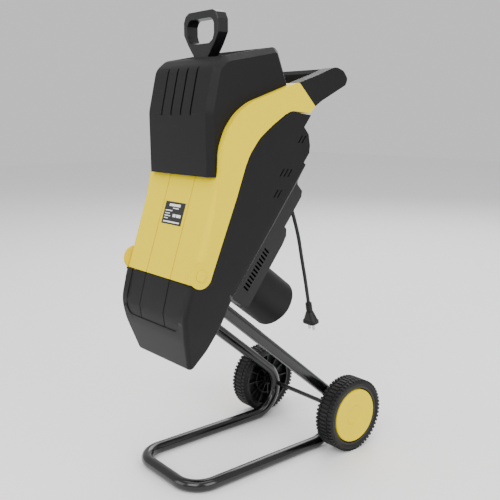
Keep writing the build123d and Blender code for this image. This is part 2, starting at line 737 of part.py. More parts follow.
def power_cord():
    points = cord_points()
    radii = route_radii(points)
    print("cord bend radii (mm):", [round(r, 1) for r in radii])
    path = FilletPolyline(*points, radius=radii)
    cord = sweep(Plane(origin=path @ 0, z_dir=path % 0) * Circle(CORD_R), path=path)
    print("cord length (mm):", round(path.length, 1), "volume ratio:",
          round(cord.volume / (path.length * 3.14159265 * CORD_R ** 2), 4))
    return cord


def plug_plane(t):
    points = cord_points()
    last = Vector(*points[-1])
    run = (last - Vector(*points[-2])).normalized()
    return Plane(origin=last + run * t, x_dir=(1, 0, 0), z_dir=run)


def plug_body():
    body = extrude(plug_plane(0) * Circle(CORD_R + 2), amount=26)
    for i in range(4):
        body += extrude(plug_plane(2 + 5 * i) * Circle(CORD_R + 3.4), amount=3)
    body += loft([plug_plane(22) * RectangleRounded(15, 15, 6), plug_plane(44) * RectangleRounded(34, 22, 8)])
    return body + extrude(plug_plane(44) * RectangleRounded(37, 25, 9), amount=6)


def plug_pins():
    pins = [extrude(plug_plane(50) * Pos(x, 0) * Rectangle(1.6, 6.4), amount=17) for x in (-6.4, 6.4)]
    return group(pins)


# ---- hopper unit --------------------------------------------------------------------
COVER_TOP = [(-326.3, 612), (-324.5, 620), (-322, 664), (-308, 698), (-285, 727), (-254, 747),
             (-150, 781), (-132, 785), (-88, 740), (-102, 727), (-148, 731)]
COVER_OUTLINE = [(-390, 421), *COVER_TOP, (-161, 729), (-200, 705), (-233, 681), (-257, 651),
                 (-267, 630), (-289, 572), (-302, 541), (-329, 477), (-348, 432), (-356, 421)]
COVER_CAVITY = [(-396, 403), *COVER_TOP, (-158, 729.5), (-158, 700), (-240, 640), (-300, 480),
                (-330, 403)]
HOPPER_OUTLINE = [(-340, 612.3), (-341, 730), (-322, 811), (-299, 829), (-172, 852), (-166, 838),
                  (-148, 792), (-150, 770), (-251, 738), (-280, 719), (-301, 692), (-315, 660),
                  (-324, 612.3)]
HOPPER_CAVITY = [(-339.8, 590), *HOPPER_OUTLINE[1:7], (-150, 700), (-251, 690), (-280, 660),
                 (-290, 590)]
FRONT_EDGE_R = 12.0
COVER_CORNERS = [(-322, 664, 90), (-308, 698, 90), (-285, 727, 90), (-254, 747, 90), (-132, 785, 5),
                 (-161, 729, 45), (-233, 681, 90), (-257, 651, 90)]
HOPPER_CORNERS = [(-341, 730, 60), (-322, 811, 30), (-299, 829, 30), (-172, 852, 15)]
HOPPER_EDGE = 11.0
FLUTE_T = 2.2
GROOVE_X = 42.0
MOUTH_X = 86.0
MOUTH = [(-292, 830.3), (-187, 849.3)]


def front_edges(solid, x, y_limit):
    """Upright front edges at +-x."""
    return solid.edges().filter_by(
        lambda e: abs(abs(e.center().X) - x) < 0.1 and e.center().Y < y_limit
        and e.length > 40 and abs(e.tangent_at(0.5).Z) > 0.85)


def hopper_form(points, x, inset):
    """Block on the hopper's outline, drawn in by inset, with its outer edges cut off."""
    face = offset(side_face(points), amount=-inset, kind=Kind.INTERSECTION) if inset else side_face(points)
    block = round_corners(grow(face, -x + inset, x - inset),
                          [(y, z, radius - inset) for y, z, radius in HOPPER_CORNERS])
    edges = block.edges().filter_by(
        lambda e: abs(abs(e.center().X) - x + inset) < 0.1
        and (e.center().Y < -325 + inset or e.center().Z > 815) and e.center().Z > 640 and e.length > 20)
    return chamfer(edges, HOPPER_EDGE - 0.586 * inset)


def hopper_block():
    return hopper_form(HOPPER_OUTLINE, HOPPER_X, 0)


def cover_form():
    return round_corners(prism(COVER_OUTLINE, -BODY_X, BODY_X), COVER_CORNERS)


def front_cover():
    shell = fillet(front_edges(cover_form(), BODY_X, -340), FRONT_EDGE_R)
    cavity = round_corners(inset_prism(COVER_CAVITY, BODY_X - WALL),
                           [(y, z, radius - WALL) for y, z, radius in COVER_CORNERS[:4]])
    shell -= fillet(front_edges(cavity, BODY_X - WALL, -330), FRONT_EDGE_R - WALL)
    shell += both_sides(cross_cyl(HINGE_Y, HINGE_Z, EAR_R, BODY_X - WALL, BODY_X))
    shell -= both_sides(cross_cyl(HINGE_Y, HINGE_Z, HINGE_PIN_R + FIT, BODY_X - WALL - 1, BODY_X + 1))
    shell -= both_sides(cross_cyl(HINGE_Y, HINGE_Z, LUG_R + CLEAR, BODY_X - 19, BODY_X - WALL))
    shell -= hopper_block()
    for x in (-GROOVE_X, GROOVE_X):
        shell -= prism([(-391, 420), (-326, 613), (-324.6, 613), (-388.6, 420)], x - 1.5, x + 1.5)
    for x, y, z in HANDLE_SCREWS:
        shell -= handle_screw(x, y, z, -20, 20, SCREW_R + FIT)
    return shell


def quad_loft(lower, upper):
    """Solid between two level or sloping four-cornered openings."""
    faces = [make_face(Polyline(*corners, close=True)) for corners in (lower, upper)]
    return loft(faces, ruled=True)


def rectangle_points(x, y0, z0, y1, z1):
    return [(-x, y0, z0), (x, y0, z0), (x, y1, z1), (-x, y1, z1)]


def hopper():
    block = hopper_block()
    floor = CHUTE_TOP_Z
    outer = quad_loft(rectangle_points(CHUTE_X + 14, CHUTE_Y0 - 10, floor, CHUTE_Y1 + 10, floor),
                      rectangle_points(MOUTH_X + WALL, MOUTH[0][0] - WALL, MOUTH[0][1] - 1.5,
                                       MOUTH[1][0] + WALL, MOUTH[1][1] - 1.5))
    inner = quad_loft(rectangle_points(CHUTE_X + 9, CHUTE_Y0 - 7, floor + LEDGE_T,
                                       CHUTE_Y1 + 7, floor + LEDGE_T),
                      rectangle_points(MOUTH_X, MOUTH[0][0], MOUTH[0][1] + 2, MOUTH[1][0], MOUTH[1][1] + 2))
    shell = block - (hopper_form(HOPPER_CAVITY, HOPPER_X, WALL) - outer)
    shell -= inner
    shell -= box(-CHUTE_X, CHUTE_X, CHUTE_Y0, CHUTE_Y1, floor - 1, floor + LEDGE_T + 1)
    for x in (-48, -16, 16, 48):
        shell -= prism([(-346, 724), (-339.4, 724), (-319, 812), (-326, 816)], x - FLUTE_T, x + FLUTE_T)
    for x, y in HOPPER_SCREWS:
        shell -= Pos(x, y, floor) * Cylinder(SCREW_R + FIT, 20)
    return shell


HOPPER_SCREWS = [(x, (CHUTE_Y0 + CHUTE_Y1) / 2) for x in (-CHUTE_X - 8, CHUTE_X + 8)]
CHUTE_WALL = 2.5
CHUTE_SPLIT_Z = 550.0
CHUTE_END_W = -26.0
CHUTE_END_N = (212.0, 275.0)
FLANGE_T = 4.0


def chute_side(grow_by):
    top = CHUTE_TOP_Z - FLANGE_T + (1 if grow_by == 0 else 0)
    end_w = CHUTE_END_W + (2 if grow_by == 0 else 0)
    front = tilted(end_w, CHUTE_END_N[0] - grow_by)
    rear = tilted(end_w, CHUTE_END_N[1] + grow_by)
    return [(CHUTE_Y0 - grow_by, top), (CHUTE_Y0 - grow_by, CHUTE_SPLIT_Z), front, rear,
            (CHUTE_Y1 + grow_by, CHUTE_SPLIT_Z), (CHUTE_Y1 + grow_by, top)]


def feed_chute():
    top = CHUTE_TOP_Z
    chute = prism(chute_side(CHUTE_WALL), -CHUTE_X - CHUTE_WALL, CHUTE_X + CHUTE_WALL)
    chute += box(-CHUTE_X - 14, CHUTE_X + 14, CHUTE_Y0 - 10, CHUTE_Y1 + 10, top - FLANGE_T, top)
    chute -= prism(chute_side(0), -CHUTE_X, CHUTE_X)
    chute -= box(-CHUTE_X, CHUTE_X, CHUTE_Y0, CHUTE_Y1, top - FLANGE_T - 1, top + 1)
    for x, y in HOPPER_SCREWS:
        chute -= Pos(x, y, top) * Cylinder(SCREW_R + FIT, 20)
    return chute


def hopper_screws():
    screws = []
    for x, y in HOPPER_SCREWS:
        shank = Pos(x, y, CHUTE_TOP_Z - 2) * Cylinder(SCREW_R, 10)
        head = Pos(x, y, CHUTE_TOP_Z - FLANGE_T - 1.5) * Cylinder(SCREW_R + 1.4, 3)
        screws.append((shank + head) & box(-80, 80, -300, -200, 700, CHUTE_TOP_Z + LEDGE_T))
    return group(screws)


def hinge_pins():
    pin = cross_cyl(HINGE_Y, HINGE_Z, HINGE_PIN_R, BODY_X - 18, BODY_X + 1)
    head = cross_cyl(HINGE_Y, HINGE_Z, 11, BODY_X + 0.3, BODY_X + 2.8)
    return both_sides(pin + chamfer(head.edges().sort_by(Axis.X)[-1], 1))


def rating_label():
    y0 = front_face_y(517)
    y1 = front_face_y(559)
    return prism([(y0, 517), (y1, 559), (y1 - 0.5, 559.2), (y0 - 0.5, 517.2)], -33, 33)


def front_face_y(z):
    return -344 - (559 - z) / 3


# ---- push handle --------------------------------------------------------------------
ARM_OUTLINE = [(-132, 785), (-88, 740), (-70, 751), (-2, 783), (4, 796), (-8, 811), (-31, 819),
               (-75, 803)]
ARM_X = (BODY_X - 32, BODY_X - 1)
BAR_Y = -14.0
BAR_Z = 799.0
HANDLE_SCREWS = [(x, -110.0, 762.5) for x in (17 - BODY_X, BODY_X - 17)]


def handle_screw(x, y, z, t0, t1, radius):
    """Cylinder square to the sloping rear face of the cover."""
    a = atan2(44, 45)
    plane = Plane(origin=(x, y + t0 * cos(a), z + t0 * sin(a)), x_dir=(1, 0, 0),
                  z_dir=(0, cos(a), sin(a)))
    return extrude(plane * Circle(radius), amount=t1 - t0)


def push_handle():
    arm = round_corners(prism(ARM_OUTLINE, *ARM_X), [(-2, 783, 9), (4, 796, 9), (-8, 811, 16),
                                                     (-70, 751, 20), (-31, 819, 30)])
    bar_outline = [(-36, 790), (-26, 781), (-6, 784), (1, 796), (-9, 809), (-28, 816), (-36, 808)]
    bar = prism(bar_outline, -ARM_X[1] + 4, ARM_X[1] - 4)
    handle = both_sides(arm) + bar
    for x, y, z in HANDLE_SCREWS:
        handle -= handle_screw(x, y, z, -2, 16, SCREW_R + FIT)
    return handle


def handle_screws():
    screws = []
    for x, y, z in HANDLE_SCREWS:
        shank = handle_screw(x, y, z, -WALL - 1, 15, SCREW_R)
        screws.append(shank + handle_screw(x, y, z, -WALL - 3, -WALL, SCREW_R + 2))
    return group(screws)


# ---- screw lock ---------------------------------------------------------------------
def lock_tab():
    """Slotted steel tongue under the cover, clamped by the knob's spindle."""
    tab = sector(LOCK_R, LOCK_R + TAB_T, LOCK_ANGLE - 2.6, 54, -TAB_X, TAB_X)
    slot = sector(LOCK_R - 1, LOCK_R + TAB_T + 1, LOCK_ANGLE - 4, LOCK_ANGLE, -SPINDLE_R - 0.6, SPINDLE_R + 0.6)
    tab -= slot
    tab -= lock_cyl(LOCK_R - 2, LOCK_R + TAB_T + 2, SPINDLE_R + 0.6)
    return tab - cover_form()


def lock_knob():
    knob = lock_cyl(LOCK_R + TAB_T + 0.8, LOCK_R + TAB_T + 20, KNOB_R)
    knob = fillet(knob.edges().filter_by(GeomType.CIRCLE).sort_by_distance(lock_plane(600).origin)[0], 4)
    for i in range(6):
        a = radians(60 * i)
        plane = lock_plane(LOCK_R + TAB_T + 5)
        knob -= extrude(plane * Pos(21 * cos(a), 21 * sin(a)) * Circle(7.5), amount=20)
    return knob - lock_cyl(LOCK_R, LOCK_R + TAB_T + 14, SPINDLE_R)


def lock_spindle():
    return lock_cyl(LOCK_R - 26, LOCK_R + TAB_T + 14, SPINDLE_R)


# ---- plunger ------------------------------------------------------------------------
def front_outline(points, y0, y1):
    """Extrude an (x, z) outline from y0 to y1, mirrored in x."""
    loop = points + [(-x, z) for x, z in reversed(points)]
    face = make_face(Polyline(*[(x, y0, z) for x, z in loop], close=True))
    return extrude(face, amount=y1 - y0, dir=(0, 1, 0))


def plunger_handle():
    body = front_outline([(23, 806), (23, 833), (42, 856), (55.5, 876), (55.5, 900), (49, 912),
                          (38, 917)], PADDLE_Y0, PADDLE_Y1)
    body = fillet(body.edges().filter_by(Axis.Y), 3)
    hole = front_outline([(27, 857), (38, 863), (43, 874), (43, 892), (38, 900), (32, 903)],
                         PADDLE_Y0 - 1, PADDLE_Y1 + 1)
    body = chamfer(body.faces().filter_by(Axis.Y).edges(), 1.5)
    return body - hole


COLLAR_Z = (CHUTE_TOP_Z + LEDGE_T, CHUTE_TOP_Z + LEDGE_T + 6)


def plunger_paddle():
    body = front_outline([(PADDLE_X, PADDLE_LOW_Z), (PADDLE_X, 790), (23, 806)], PADDLE_Y0, PADDLE_Y1)
    mid_y = (PADDLE_Y0 + PADDLE_Y1) / 2
    for i in range(5):
        z0 = PADDLE_LOW_Z + 5 + 36 * i
        for y0, y1 in ((PADDLE_Y0 - 1, mid_y - 2), (mid_y + 2, PADDLE_Y1 + 1)):
            body -= box(-PADDLE_X + 4, -2, y0, y1, z0, z0 + 32)
            body -= box(2, PADDLE_X - 4, y0, y1, z0, z0 + 32)
    body += box(-CHUTE_X - 5, CHUTE_X + 5, CHUTE_Y0 - 4, CHUTE_Y1 + 4, *COLLAR_Z)
    return body


# ---- all pieces ---------------------------------------------------------------------
def place(shape):
    return shape.moved(Location((0, AXLE_Y, 0)))


def left(shape):
    return mirror(shape, about=Plane.YZ)


RIGHT_WHEEL = {"tyre": tyre(), "rim": rim(), "bush": wheel_bush(), "cap": wheel_cap()}

PIECES = {
    "stand_frame": stand_frame(),
    "axle": axle(),
    "axle_spacers": axle_spacers(),
    "axle_retainers": axle_retainers(),
    "leg_clamps": leg_clamps(),
    "leg_clamp_screws": leg_clamp_screws(),
    "base_housing": base_housing(),
    "hinge_pins": hinge_pins(),
    "chamber_liner": chamber_liner(),
    "counter_blade": counter_blade(),
    "rear_housing": rear_housing(),
    "housing_screws": housing_screws(),
    "motor_plate": motor_plate(),
    "motor_plate_screws": motor_plate_screws(),
    "motor_can": motor_can(),
    "front_bearing": front_bearing(),
    "rear_bearing": rear_bearing(),
    "motor_stator": motor_stator(),
    "field_coils": field_coils(),
    "carbon_brushes": carbon_brushes(),
    "brush_holders": brush_holders(),
    "motor_shaft": motor_shaft(),
    "motor_armature": motor_armature(),
    "commutator": commutator(),
    "cooling_fan": cooling_fan(),
    "cutting_disc": cutting_disc(),
    "disc_blades": disc_blades(),
    "blade_screws": blade_screws(),
    "disc_bolt": disc_bolt(),
    "switch_housing": switch_housing(),
    "switch_rocker": switch_rocker(),
    "button_guide": button_guide(),
    "reset_button": reset_button(),
    "safety_switch": safety_switch(),
    "capacitor": capacitor(),
    "cord_gland": cord_gland(),
    "power_cord": power_cord(),
    "plug_body": plug_body(),
    "plug_pins": plug_pins(),
    "front_cover": front_cover(),
    "hopper": hopper(),
    "feed_chute": feed_chute(),
    "hopper_screws": hopper_screws(),
    "rating_label": rating_label(),
    "push_handle": push_handle(),
    "handle_screws": handle_screws(),
    "lock_tab": lock_tab(),
    "lock_knob": lock_knob(),
    "lock_spindle": lock_spindle(),
    "plunger_handle": plunger_handle(),
    "plunger_paddle": plunger_paddle(),
}
for part_name, solid in RIGHT_WHEEL.items():
    PIECES[f"right_{part_name}"] = solid
    PIECES[f"left_{part_name}"] = left(solid)

os.makedirs("parts", exist_ok=True)
for node, solid in PIECES.items():
    export_step(place(solid), f"parts/{node}.step")
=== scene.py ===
"""Garden chipper on a wheeled tube stand: finishes, fine parts, studio and camera."""

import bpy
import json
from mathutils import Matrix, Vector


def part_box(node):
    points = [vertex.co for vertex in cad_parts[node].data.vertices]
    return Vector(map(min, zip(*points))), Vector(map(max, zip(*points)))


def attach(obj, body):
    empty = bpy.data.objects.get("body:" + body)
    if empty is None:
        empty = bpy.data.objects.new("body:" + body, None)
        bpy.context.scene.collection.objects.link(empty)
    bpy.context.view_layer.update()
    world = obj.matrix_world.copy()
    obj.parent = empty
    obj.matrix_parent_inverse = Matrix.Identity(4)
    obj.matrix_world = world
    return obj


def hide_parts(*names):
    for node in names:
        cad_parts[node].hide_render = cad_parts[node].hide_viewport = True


bl_info = {
    "name": "Garden Chipper Finishes",
    "version": (1, 0, 0),
    "blender": (4, 5, 0),
    "location": "View3D > Sidebar > Chipper",
    "description": "Builds the finishes, treads, cord, label and studio of a garden chipper",
    "category": "Object",
}

import json
from math import cos, pi, radians, sin

import bmesh
import bpy
from mathutils import Matrix, Vector

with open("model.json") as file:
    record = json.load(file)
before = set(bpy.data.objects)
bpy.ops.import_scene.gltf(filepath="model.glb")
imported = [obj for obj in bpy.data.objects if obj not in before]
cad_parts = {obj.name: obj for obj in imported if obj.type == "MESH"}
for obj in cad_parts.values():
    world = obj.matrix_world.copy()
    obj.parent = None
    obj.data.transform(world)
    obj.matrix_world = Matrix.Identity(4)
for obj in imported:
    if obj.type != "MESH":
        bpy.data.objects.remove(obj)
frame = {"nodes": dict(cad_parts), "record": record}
NODES = frame["nodes"]


# ---- sizes and colours that a user may change ---------------------------------------
class ChipperSizes(bpy.types.PropertyGroup):
    edge_round: bpy.props.FloatProperty(
        name="Edge Rounding", description="Radius on the moulded edges", default=0.0009, unit="LENGTH")
    fine_round: bpy.props.FloatProperty(
        name="Fine Rounding", description="Radius on small turned and cut edges", default=0.0005,
        unit="LENGTH")
    tread_ribs: bpy.props.IntProperty(
        name="Tread Ribs", description="Ribs across each tyre", default=56, min=12, max=120)
    rib_depth: bpy.props.FloatProperty(
        name="Rib Depth", description="How far a rib stands out of the tyre", default=0.0024,
        unit="LENGTH")
    rib_gap: bpy.props.FloatProperty(
        name="Rib Gap", description="Share of the pitch left open between ribs", default=0.42,
        min=0.1, max=0.8)
    lens: bpy.props.FloatProperty(
        name="Lens", description="Focal length of the studio camera in millimetres", default=51.75)


class ChipperColours(bpy.types.PropertyGroup):
    cover: bpy.props.FloatVectorProperty(
        name="Cover", description="Yellow of the cover and wheel caps", subtype="COLOR",
        size=3, default=(0.78, 0.60, 0.0))
    moulding: bpy.props.FloatVectorProperty(
        name="Moulding", description="Grained black of hopper and casing", subtype="COLOR",
        size=3, default=(0.0050, 0.0048, 0.0054))
    stand: bpy.props.FloatVectorProperty(
        name="Stand", description="Gloss black of the tube stand", subtype="COLOR",
        size=3, default=(0.0025, 0.0025, 0.003))
    tyre: bpy.props.FloatVectorProperty(
        name="Tyre", description="Black of the tyres", subtype="COLOR", size=3,
        default=(0.006, 0.006, 0.0065))
    floor: bpy.props.FloatVectorProperty(
        name="Floor", description="Pale studio floor", subtype="COLOR", size=3,
        default=(0.93, 0.93, 0.93))


# ---- shader node groups -------------------------------------------------------------
def start_group(name, inputs, outputs):
    """Empty shader group with named sockets; returns the tree and its two end nodes."""
    tree = bpy.data.node_groups.new(name, "ShaderNodeTree")
    for socket, kind, value in inputs:
        item = tree.interface.new_socket(name=socket, in_out="INPUT", socket_type=kind)
        item.default_value = value
    for socket, kind in outputs:
        tree.interface.new_socket(name=socket, in_out="OUTPUT", socket_type=kind)
    return tree, tree.nodes.new("NodeGroupInput"), tree.nodes.new("NodeGroupOutput")


def add_noise(tree, scale_socket, detail=3.0, squeeze=None):
    """Noise on Object coordinates, stretched along one axis where squeeze is given."""
    coords = tree.nodes.new("ShaderNodeTexCoord")
    noise = tree.nodes.new("ShaderNodeTexNoise")
    noise.inputs["Detail"].default_value = detail
    source = coords.outputs["Object"]
    if squeeze:
        mapping = tree.nodes.new("ShaderNodeMapping")
        mapping.inputs["Scale"].default_value = squeeze
        tree.links.new(source, mapping.inputs["Vector"])
        source = mapping.outputs["Vector"]
    tree.links.new(source, noise.inputs["Vector"])
    tree.links.new(scale_socket, noise.inputs["Scale"])
    return noise


def add_math(tree, operation, first, second=None, clamp=False):
    """Math node whose inputs are numbers or sockets; returns its output socket."""
    node = tree.nodes.new("ShaderNodeMath")
    node.operation = operation
    node.use_clamp = clamp
    for socket, value in zip(node.inputs, (first, second)):
        if isinstance(value, (int, float)):
            socket.default_value = value
        elif value is not None:
            tree.links.new(value, socket)
    return node.outputs[0]


def add_mix(tree, factor, first, second):
    """Colour mix of two sockets; returns its output socket."""
    node = tree.nodes.new("ShaderNodeMix")
    node.data_type = "RGBA"
    tree.links.new(factor, node.inputs["Factor"])
    for name, value in (("A", first), ("B", second)):
        socket = [s for s in node.inputs if s.name == name and s.type == "RGBA"][0]
        tree.links.new(value, socket)
    return [s for s in node.outputs if s.type == "RGBA"][0]


def ramp_between(tree, value, low, high):
    """0 at low, 1 at high and straight in between."""
    node = tree.nodes.new("ShaderNodeMapRange")
    node.inputs["From Min"].default_value = low
    node.inputs["From Max"].default_value = high
    tree.links.new(value, node.inputs["Value"])
    return node.outputs["Result"]


def moulded_grain_group():
    """Spark-eroded grain of a plastic mould: a fine pebble over a finer speckle."""
    tree, start, end = start_group(
        "Moulded Grain",
        [("Scale", "NodeSocketFloat", 900.0), ("Strength", "NodeSocketFloat", 0.3),
         ("Depth", "NodeSocketFloat", 0.0003)],
        [("Normal", "NodeSocketVector")])
    coarse = add_noise(tree, start.outputs["Scale"], 2.0)
    fine = add_noise(tree, add_math(tree, "MULTIPLY", start.outputs["Scale"], 2.7), 1.0)
    height = add_math(tree, "ADD", coarse.outputs["Fac"],
                      add_math(tree, "MULTIPLY", fine.outputs["Fac"], 0.5))
    bump = tree.nodes.new("ShaderNodeBump")
    tree.links.new(start.outputs["Strength"], bump.inputs["Strength"])
    tree.links.new(start.outputs["Depth"], bump.inputs["Distance"])
    tree.links.new(height, bump.inputs["Height"])
    tree.links.new(bump.outputs["Normal"], end.inputs["Normal"])
    return tree


def colour_drift_group():
    """Slow change of shade across a moulding or a painted tube."""
    tree, start, end = start_group(
        "Colour Drift",
        [("Colour", "NodeSocketColor", (1, 1, 1, 1)), ("Shade", "NodeSocketColor", (0, 0, 0, 1)),
         ("Scale", "NodeSocketFloat", 6.0), ("Amount", "NodeSocketFloat", 0.3)],
        [("Colour", "NodeSocketColor")])
    noise = add_noise(tree, start.outputs["Scale"], 4.0)
    mask = add_math(tree, "MULTIPLY", ramp_between(tree, noise.outputs["Fac"], 0.3, 0.7),
                    start.outputs["Amount"], clamp=True)
    tree.links.new(add_mix(tree, mask, start.outputs["Colour"], start.outputs["Shade"]),
                   end.inputs["Colour"])
    return tree


DUST_SCALE = 38.0
DUST_ON_WALLS = 0.12        # share of the dust that stays on upright faces


def settled_dust_group():
    """Pale dust that lies on faces that look up, in patches."""
    tree, start, end = start_group(
        "Settled Dust",
        [("Colour", "NodeSocketColor", (1, 1, 1, 1)), ("Dust", "NodeSocketColor", (0.4, 0.36, 0.3, 1)),
         ("Amount", "NodeSocketFloat", 0.1), ("Roughness", "NodeSocketFloat", 0.5)],
        [("Colour", "NodeSocketColor"), ("Roughness", "NodeSocketFloat")])
    geometry = tree.nodes.new("ShaderNodeNewGeometry")
    split = tree.nodes.new("ShaderNodeSeparateXYZ")
    tree.links.new(geometry.outputs["Normal"], split.inputs["Vector"])
    scale = tree.nodes.new("ShaderNodeValue")
    scale.outputs[0].default_value = DUST_SCALE
    noise = add_noise(tree, scale.outputs[0], 6.0)
    upward = add_math(tree, "MAXIMUM", split.outputs["Z"], DUST_ON_WALLS)
    patches = add_math(tree, "MULTIPLY", upward, ramp_between(tree, noise.outputs["Fac"], 0.42, 0.75))
    mask = add_math(tree, "MULTIPLY", patches, start.outputs["Amount"], clamp=True)
    tree.links.new(add_mix(tree, mask, start.outputs["Colour"], start.outputs["Dust"]),
                   end.inputs["Colour"])
    rough = add_math(tree, "ADD", start.outputs["Roughness"], add_math(tree, "MULTIPLY", mask, 0.5))
    tree.links.new(rough, end.inputs["Roughness"])
    return tree


def handling_scuffs_group():
    """Thin pale scratches that run one way, with the roughness they add."""
    tree, start, end = start_group(
        "Handling Scuffs",
        [("Colour", "NodeSocketColor", (1, 1, 1, 1)), ("Scuff", "NodeSocketColor", (0.3, 0.3, 0.3, 1)),
         ("Scale", "NodeSocketFloat", 60.0), ("Amount", "NodeSocketFloat", 0.2),
         ("Roughness", "NodeSocketFloat", 0.4)],
        [("Colour", "NodeSocketColor"), ("Roughness", "NodeSocketFloat")])
    lines = add_noise(tree, start.outputs["Scale"], 5.0, (1.0, 9.0, 0.6))
    patch = add_noise(tree, add_math(tree, "MULTIPLY", start.outputs["Scale"], 0.12), 2.0)
    mask = add_math(tree, "MULTIPLY", ramp_between(tree, lines.outputs["Fac"], 0.62, 0.72),
                    ramp_between(tree, patch.outputs["Fac"], 0.5, 0.62))
    mask = add_math(tree, "MULTIPLY", mask, start.outputs["Amount"], clamp=True)
    tree.links.new(add_mix(tree, mask, start.outputs["Colour"], start.outputs["Scuff"]),
                   end.inputs["Colour"])
    tree.links.new(add_math(tree, "ADD", start.outputs["Roughness"],
                            add_math(tree, "MULTIPLY", mask, 0.35)), end.inputs["Roughness"])
    return tree


def brushed_lines_group():
    """Fine drawn lines of ground or brushed metal."""
    tree, start, end = start_group(
        "Brushed Lines",
        [("Scale", "NodeSocketFloat", 500.0), ("Strength", "NodeSocketFloat", 0.2),
         ("Roughness", "NodeSocketFloat", 0.3)],
        [("Normal", "NodeSocketVector"), ("Roughness", "NodeSocketFloat")])
    lines = add_noise(tree, start.outputs["Scale"], 2.0, (0.05, 1.0, 1.0))
    bump = tree.nodes.new("ShaderNodeBump")
    bump.inputs["Distance"].default_value = 0.0002
    tree.links.new(start.outputs["Strength"], bump.inputs["Strength"])
    tree.links.new(lines.outputs["Fac"], bump.inputs["Height"])
    tree.links.new(bump.outputs["Normal"], end.inputs["Normal"])
    spread = add_math(tree, "MULTIPLY", add_math(tree, "SUBTRACT", lines.outputs["Fac"], 0.5), 0.3)
    tree.links.new(add_math(tree, "ADD", start.outputs["Roughness"], spread), end.inputs["Roughness"])
    return tree


GROUP_BUILDERS = {
    "Moulded Grain": moulded_grain_group,
    "Colour Drift": colour_drift_group,
    "Settled Dust": settled_dust_group,
    "Handling Scuffs": handling_scuffs_group,
    "Brushed Lines": brushed_lines_group,
}


def use_group(material, name, values):
    """Place a shared effect in a material and set its own values."""
    tree = bpy.data.node_groups.get(name) or GROUP_BUILDERS[name]()
    node = material.node_tree.nodes.new("ShaderNodeGroup")
    node.node_tree = tree
    for socket, value in values.items():
        node.inputs[socket].default_value = value
    return node


# ---- materials ----------------------------------------------------------------------
PLASTIC_SHADE = 0.72        # darkest shade of a plastic, as a share of its colour
METAL_SHADE = 0.6
DRIFT_SCALE = 7.0
TARNISH_SCALE = 30.0
SCUFF_SCALE = 70.0
COAT_ROUGHNESS = 0.12


def rgba(colour):
    """Colour with full alpha."""
    return (colour[0], colour[1], colour[2], 1.0)


def shade_of(colour, factor):
    """Colour made darker by a factor."""
    return tuple(c * factor for c in colour[:3])


def moulded_plastic(name, colour, roughness, grain, drift=0.35, dust=0.05, scuffs=0.12, coat=0.0,
                    gloss=0.5):
    """Grained or polished plastic with slow shade change, dust and light handling marks."""
    material = bpy.data.materials.new(name)
    material.use_nodes = True
    links = material.node_tree.links
    shader = material.node_tree.nodes["Principled BSDF"]
    shader.inputs["Coat Weight"].default_value = coat
    shader.inputs["Coat Roughness"].default_value = COAT_ROUGHNESS
    shader.inputs["Specular IOR Level"].default_value = gloss
    drifting = use_group(material, "Colour Drift",
                         {"Colour": rgba(colour), "Shade": rgba(shade_of(colour, PLASTIC_SHADE)),
                          "Scale": DRIFT_SCALE, "Amount": drift})
    worn = use_group(material, "Handling Scuffs",
                     {"Scuff": rgba([c * 0.6 + 0.16 for c in colour]), "Scale": SCUFF_SCALE,
                      "Amount": scuffs, "Roughness": roughness})
    dusty = use_group(material, "Settled Dust", {"Amount": dust})
    surface = use_group(material, "Moulded Grain",
                        {"Scale": grain[0], "Strength": grain[1], "Depth": grain[2]})
    links.new(drifting.outputs["Colour"], worn.inputs["Colour"])
    links.new(worn.outputs["Colour"], dusty.inputs["Colour"])
    links.new(worn.outputs["Roughness"], dusty.inputs["Roughness"])
    links.new(dusty.outputs["Colour"], shader.inputs["Base Color"])
    links.new(dusty.outputs["Roughness"], shader.inputs["Roughness"])
    links.new(surface.outputs["Normal"], shader.inputs["Normal"])
    return material


def worked_metal(name, colour, roughness, line_scale, strength=0.25, drift=0.3):
    """Bare metal with drawn lines and slow tarnish."""
    material = bpy.data.materials.new(name)
    material.use_nodes = True
    links = material.node_tree.links
    shader = material.node_tree.nodes["Principled BSDF"]
    shader.inputs["Metallic"].default_value = 1.0
    tarnish = use_group(material, "Colour Drift",
                        {"Colour": rgba(colour), "Shade": rgba(shade_of(colour, METAL_SHADE)),
                         "Scale": TARNISH_SCALE, "Amount": drift})
    lines = use_group(material, "Brushed Lines",
                      {"Scale": line_scale, "Strength": strength, "Roughness": roughness})
    links.new(tarnish.outputs["Colour"], shader.inputs["Base Color"])
    links.new(lines.outputs["Roughness"], shader.inputs["Roughness"])
    links.new(lines.outputs["Normal"], shader.inputs["Normal"])
    return material


def grained_black():
    return moulded_plastic("Grained Black", bpy.context.scene.chipper_colours.moulding, 0.5,
                           (1500.0, 0.28, 0.00035), drift=0.3, dust=0.008, scuffs=0.03, gloss=0.2)


def smooth_black():
    return moulded_plastic("Smooth Black", (0.006, 0.006, 0.007), 0.34, (700.0, 0.08, 0.0002),
                           dust=0.01, scuffs=0.05, gloss=0.35)


def satin_yellow():
    return moulded_plastic("Satin Yellow", bpy.context.scene.chipper_colours.cover, 0.38,
                           (1100.0, 0.05, 0.0002), drift=0.1, dust=0.004, scuffs=0.012, gloss=0.05)


def stand_paint():
    return moulded_plastic("Stand Paint", bpy.context.scene.chipper_colours.stand, 0.2,
                           (420.0, 0.05, 0.0002), drift=0.4, dust=0.01, scuffs=0.15, coat=0.3, gloss=0.4)


def tyre_rubber():
    return moulded_plastic("Tyre Rubber", bpy.context.scene.chipper_colours.tyre, 0.62,
                           (1300.0, 0.35, 0.0004), drift=0.5, dust=0.03, scuffs=0.08, gloss=0.3)


def cord_rubber():
    return moulded_plastic("Cord Rubber", (0.005, 0.005, 0.006), 0.42, (1600.0, 0.12, 0.0002),
                           dust=0.01, scuffs=0.04, gloss=0.35)


